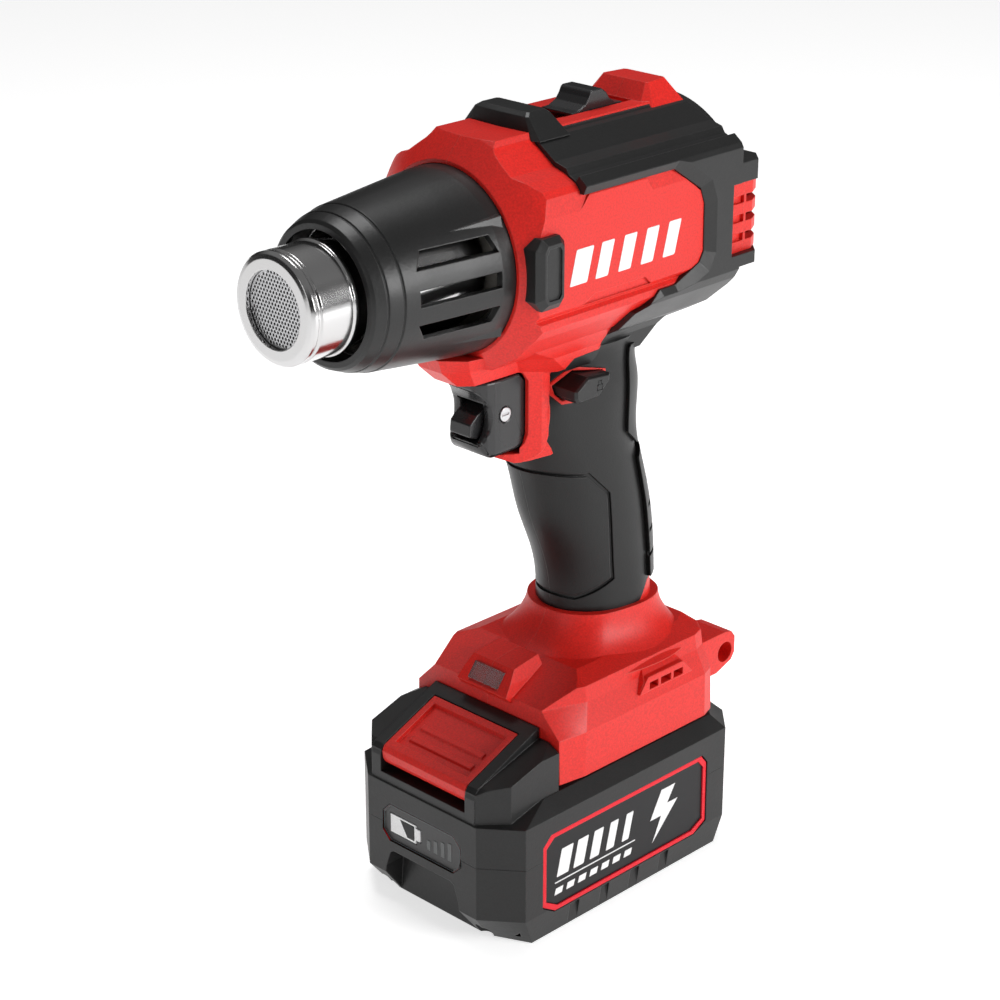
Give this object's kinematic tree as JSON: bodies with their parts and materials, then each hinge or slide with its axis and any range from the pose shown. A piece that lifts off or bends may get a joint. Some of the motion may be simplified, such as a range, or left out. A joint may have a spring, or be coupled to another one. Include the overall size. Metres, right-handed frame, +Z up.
{
  "type": "cordless heat gun",
  "caption": "Pistol-grip cordless hot-air gun: steel nozzle in a slotted cone, faceted two-colour body, trigger, switch lock, and a slide-on battery pack as the foot.",
  "frame": {"origin": "middle of the battery pack's flat base, on the surface the gun stands on", "axes": "-X along the air stream out of the nozzle, +Z up from the base to the barrel, -Y the tool's left side"},
  "size_m": [0.1802, 0.076, 0.2679],
  "materials": {
    "red_shell": "fine spark texture",
    "armour_rubber": "satin overmould",
    "grip_rubber": "satin overmould",
    "black_plastic": "fine spark texture",
    "gloss_black": "semi gloss",
    "polished_steel": "polished",
    "brushed_steel": "brushed",
    "ceramic": "fired ceramic",
    "mica": "mica sheet",
    "heater_wire": "oxidised resistance wire",
    "fan_plastic": "moulded",
    "circuit_board": "solder mask",
    "lens": "clear",
    "pack_plastic": "fine spark texture",
    "label_red": "printed gloss",
    "label_black": "printed gloss",
    "gauge_grey": "printed film",
    "gauge_light": "unlit light bars",
    "white_print": "printed white",
    "cell_wrap": "shrink wrap",
    "brass_contact": "plated"
  },
  "bodies": {
    "gun": {"housing_left": "red_shell", "housing_right": "red_shell", "armour_left": "armour_rubber", "armour_right": "armour_rubber", "grip_left": "grip_rubber", "grip_right": "grip_rubber", "neck_pad": "grip_rubber", "grip_spine": "grip_rubber", "lock_frame": "red_shell", "side_pad_left": "armour_rubber", "side_pad_right": "armour_rubber", "front_bump": "armour_rubber", "nozzle_tube": "polished_steel", "nozzle_grille": "brushed_steel", "heat_shield": "polished_steel", "shield_spacer": "ceramic", "mica_sleeve": "mica", "heater_core": "mica", "heater_coils": "heater_wire", "front_shroud": "black_plastic", "motor_can": "brushed_steel", "motor_mount": "black_plastic", "rear_cap": "red_shell", "hang_lug": "red_shell", "trigger_spring": "brushed_steel", "switch_module": "black_plastic", "control_board": "circuit_board", "led_lens": "lens", "led_board": "circuit_board", "terminal_block": "black_plastic", "housing_screws": "brushed_steel"},
    "rotor": {"fan_impeller": "fan_plastic", "motor_shaft": "brushed_steel"},
    "trigger_body": {"trigger": "gloss_black", "trigger_pin": "brushed_steel"},
    "tab": {"trigger_tab": "gloss_black"},
    "slider": {"mode_slider": "gloss_black"},
    "lock": {"lock_button": "black_plastic"},
    "pack": {"pack_lower": "pack_plastic", "pack_upper": "pack_plastic", "pack_screws": "brushed_steel", "latch_spring": "brushed_steel", "label_frame_left": "label_red", "label_frame_right": "label_red", "label_plate_left": "label_black", "label_plate_right": "label_black", "gauge_panel": "gauge_grey", "gauge_bars": "gauge_light", "cells": "cell_wrap", "cell_holder_left": "black_plastic", "cell_holder_right": "black_plastic", "bms_board": "circuit_board", "pack_terminals": "brass_contact"},
    "release": {"release_button": "red_shell"},
    "gauge_key": {"gauge_button": "white_print"}
  },
  "joints": [
    {"name": "fan_spin", "type": "hinge", "parent": "gun", "child": "rotor", "pos_m": [0, 0, 0.225], "axis": [1, 0, 0], "continuous": true},
    {"name": "trigger_pull", "type": "slide", "parent": "gun", "child": "trigger_body", "axis": [1, 0, 0], "range_m": [0, 0.005], "stiffness_N_per_m": 900, "springref_m": -0.002, "deforming": ["trigger_spring"]},
    {"name": "tab_swing", "type": "hinge", "parent": "trigger_body", "child": "tab", "pos_m": [-0.029, 0, 0.173], "axis": [0, -1, 0], "range_deg": [0, 5], "stiffness_Nm_per_rad": 0.05, "springref_deg": -11.46},
    {"name": "mode_slide", "type": "slide", "parent": "gun", "child": "slider", "axis": [-1, 0, 0], "range_m": [0, 0.008]},
    {"name": "lock_slide", "type": "slide", "parent": "gun", "child": "lock", "axis": [0, 1, 0], "range_m": [0, 0.005]},
    {"name": "pack_slide", "type": "slide", "parent": "gun", "child": "pack", "axis": [-1, 0, 0], "range_m": [0, 0.1]},
    {"name": "release_press", "type": "slide", "parent": "pack", "child": "release", "axis": [0, 0, -1], "range_m": [0, 0.002], "stiffness_N_per_m": 1500, "springref_m": -0.001, "deforming": ["latch_spring"]},
    {"name": "gauge_press", "type": "slide", "parent": "pack", "child": "gauge_key", "axis": [1, 0, 0], "range_m": [0, 0.0005], "stiffness_N_per_m": 800, "springref_m": -0.0002}
  ]
}
